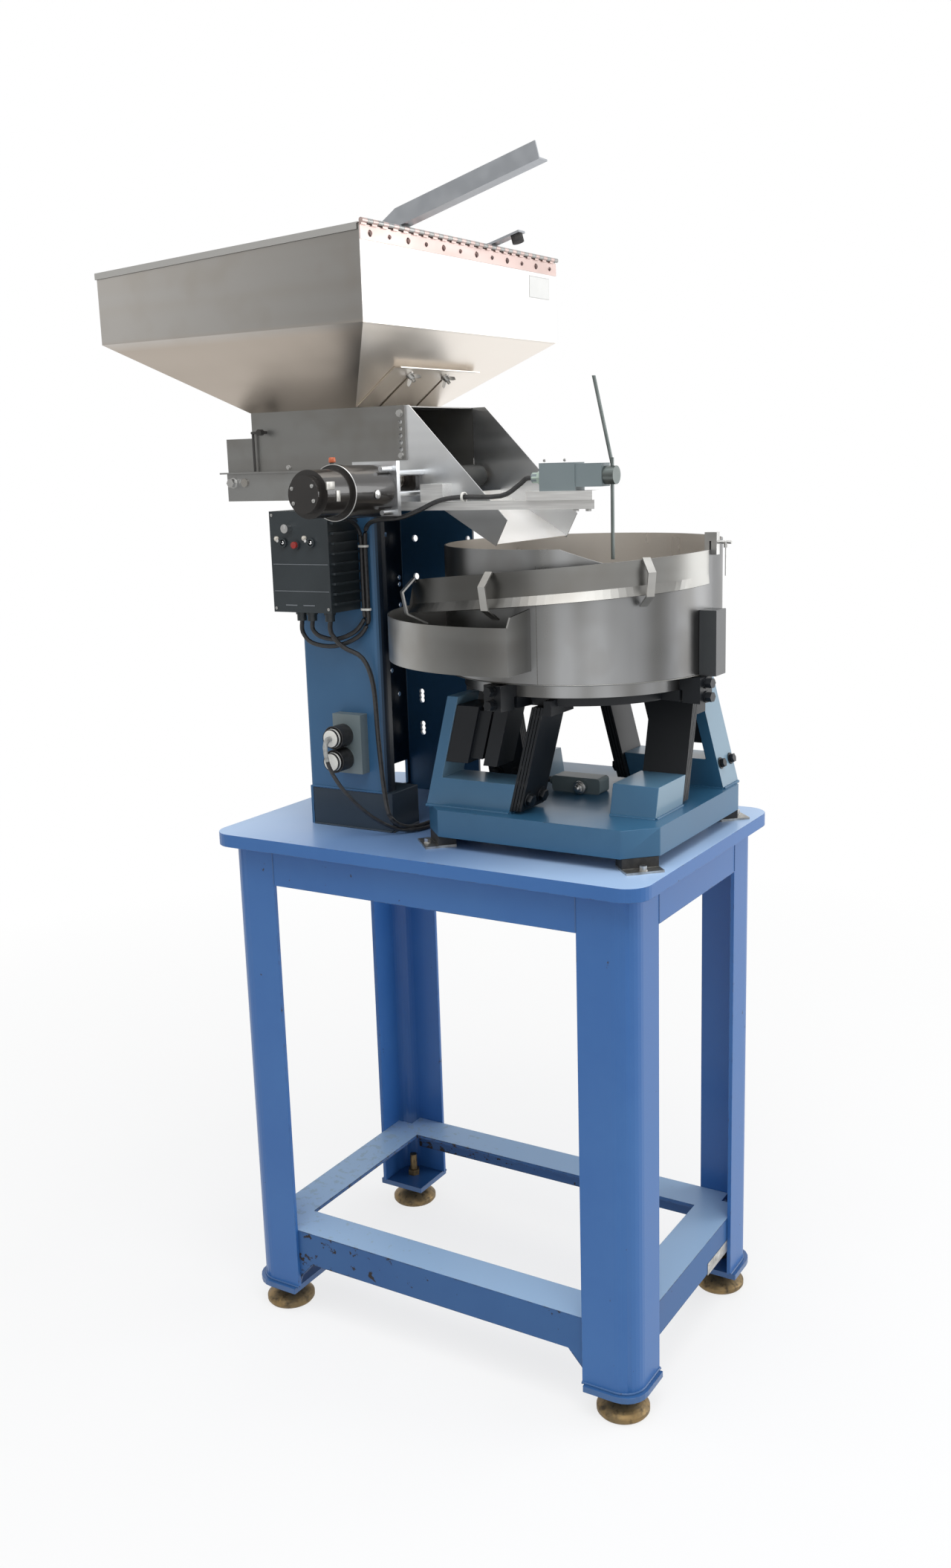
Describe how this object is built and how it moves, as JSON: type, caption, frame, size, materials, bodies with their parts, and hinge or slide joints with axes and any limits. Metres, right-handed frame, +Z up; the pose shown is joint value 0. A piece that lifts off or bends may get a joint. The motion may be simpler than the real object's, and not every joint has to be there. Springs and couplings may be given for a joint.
{
  "type": "vibratory bowl feeder",
  "caption": "Vibratory bowl feeder with bulk hopper, belt conveyor, level switch and control box on a blue steel stand.",
  "frame": {"origin": "centre of the footprint on the floor plane", "axes": "+X along the front of the stand from the hopper side to the bowl side, +Y from the control box side to the back, +Z up"},
  "size_m": [1.0974, 0.7774, 2.19],
  "materials": {
    "blue_paint": "satin enamel",
    "yellow_zinc": "dull yellow zinc, dirty",
    "black_paint": "semi-gloss black",
    "stainless": "brushed stainless",
    "hinge_steel": "plain steel",
    "belt_rubber": "matte",
    "roller_steel": "dark brown lacquer",
    "aluminium": "mill finish",
    "switch_paint": "grey-green satin",
    "bright_plastic": "white",
    "chrome_trim": "bright",
    "red_plastic": "red",
    "black_plastic": "black"
  },
  "bodies": {
    "stand": {"table_top": "blue_paint", "legs": "blue_paint", "apron_rails": "blue_paint", "lower_frame": "blue_paint", "foot_plates": "blue_paint", "column_channel": "blue_paint", "drive_base": "blue_paint", "drive_uprights": "blue_paint", "leveling_feet": "yellow_zinc", "column_base": "black_paint", "gearmotor": "black_paint", "gearbox": "black_paint", "head_bearings": "black_paint", "control_box": "black_paint", "leaf_springs": "black_paint", "magnets": "black_paint", "hook_rod": "black_paint", "hopper_bin": "stainless", "throat_box": "stainless", "corner_posts": "stainless", "conveyor_frame": "stainless", "chute_plate_front": "stainless", "chute_plate_rear": "stainless", "chute_floor": "stainless", "motor_plate": "stainless", "hopper_hinge": "hinge_steel", "hinge_screws": "hinge_steel", "hex_bolts": "hinge_steel", "gate_wing_nuts": "hinge_steel", "conveyor_belt": "belt_rubber", "isolators": "belt_rubber", "level_bar": "aluminium", "level_switch": "switch_paint", "junction_box": "switch_paint", "receptacle_box": "switch_paint", "pilot_lamps": "bright_plastic", "cable_ties": "bright_plastic", "plugs": "black_plastic", "level_cable": "black_plastic", "drive_cable": "black_plastic"},
    "bowl": {"bowl_shell": "stainless", "bowl_track": "stainless", "outer_trough": "stainless", "return_pan": "stainless", "strap_brackets": "stainless", "counterweight": "black_paint", "bowl_clamps": "black_paint", "nozzle_fitting": "hinge_steel", "armature_frame": "black_paint"},
    "head_drum": {"head_roller": "roller_steel"},
    "tail_drum": {"tail_roller": "roller_steel"},
    "lid": {"hopper_lid": "stainless", "lid_arms": "stainless", "lid_bumper": "belt_rubber"},
    "gate": {"gate_plate": "stainless"},
    "wand": {"level_wand": "stainless"},
    "knob": {"speed_knob": "chrome_trim"},
    "switch_left": {"toggle_left": "chrome_trim"},
    "switch_right": {"toggle_right": "chrome_trim"},
    "button": {"push_button": "red_plastic"}
  },
  "joints": [
    {"name": "bowl_vibration", "type": "hinge", "parent": "stand", "child": "bowl", "pos_m": [0.26475, 0.05025, 1.283], "axis": [0, 0, 1], "range_deg": [-0.3, 0.3], "stiffness_Nm_per_rad": 2000, "deforming": ["leaf_springs"]},
    {"name": "head_roller_turn", "type": "hinge", "parent": "stand", "child": "head_drum", "pos_m": [-0.02325, 0.04925, 1.672], "axis": [0, 1, 0], "continuous": true},
    {"name": "tail_roller_turn", "type": "hinge", "parent": "stand", "child": "tail_drum", "pos_m": [-0.39725, 0.04925, 1.672], "axis": [0, 1, 0], "continuous": true},
    {"name": "lid_hinge", "type": "hinge", "parent": "stand", "child": "lid", "pos_m": [0.04475, 0.04925, 2.085], "axis": [0, 1, 0], "range_deg": [0, 95]},
    {"name": "gate_slide", "type": "slide", "parent": "stand", "child": "gate", "axis": [0.7983, 0, 0.6023], "range_m": [0, 0.075]},
    {"name": "level_wand_swing", "type": "hinge", "parent": "stand", "child": "wand", "pos_m": [0.40675, -0.11875, 1.672], "axis": [1, 0, 0], "range_deg": [-8, 30], "stiffness_Nm_per_rad": 0.25},
    {"name": "speed_knob_turn", "type": "hinge", "parent": "stand", "child": "knob", "pos_m": [-0.19525, -0.21375, 1.5915], "axis": [0, -1, 0], "range_deg": [-135, 135]},
    {"name": "left_toggle", "type": "hinge", "parent": "stand", "child": "switch_left", "pos_m": [-0.20925, -0.21475, 1.566], "axis": [1, 0, 0], "range_deg": [0, 28]},
    {"name": "right_toggle", "type": "hinge", "parent": "stand", "child": "switch_right", "pos_m": [-0.14625, -0.21475, 1.566], "axis": [1, 0, 0], "range_deg": [0, 28]},
    {"name": "button_press", "type": "slide", "parent": "stand", "child": "button", "axis": [0, 1, 0], "range_m": [0, 0.004], "stiffness_N_per_m": 200}
  ],
  "couplings": [
    {"joint": "tail_roller_turn", "follows": "head_roller_turn", "ratio": 1}
  ]
}
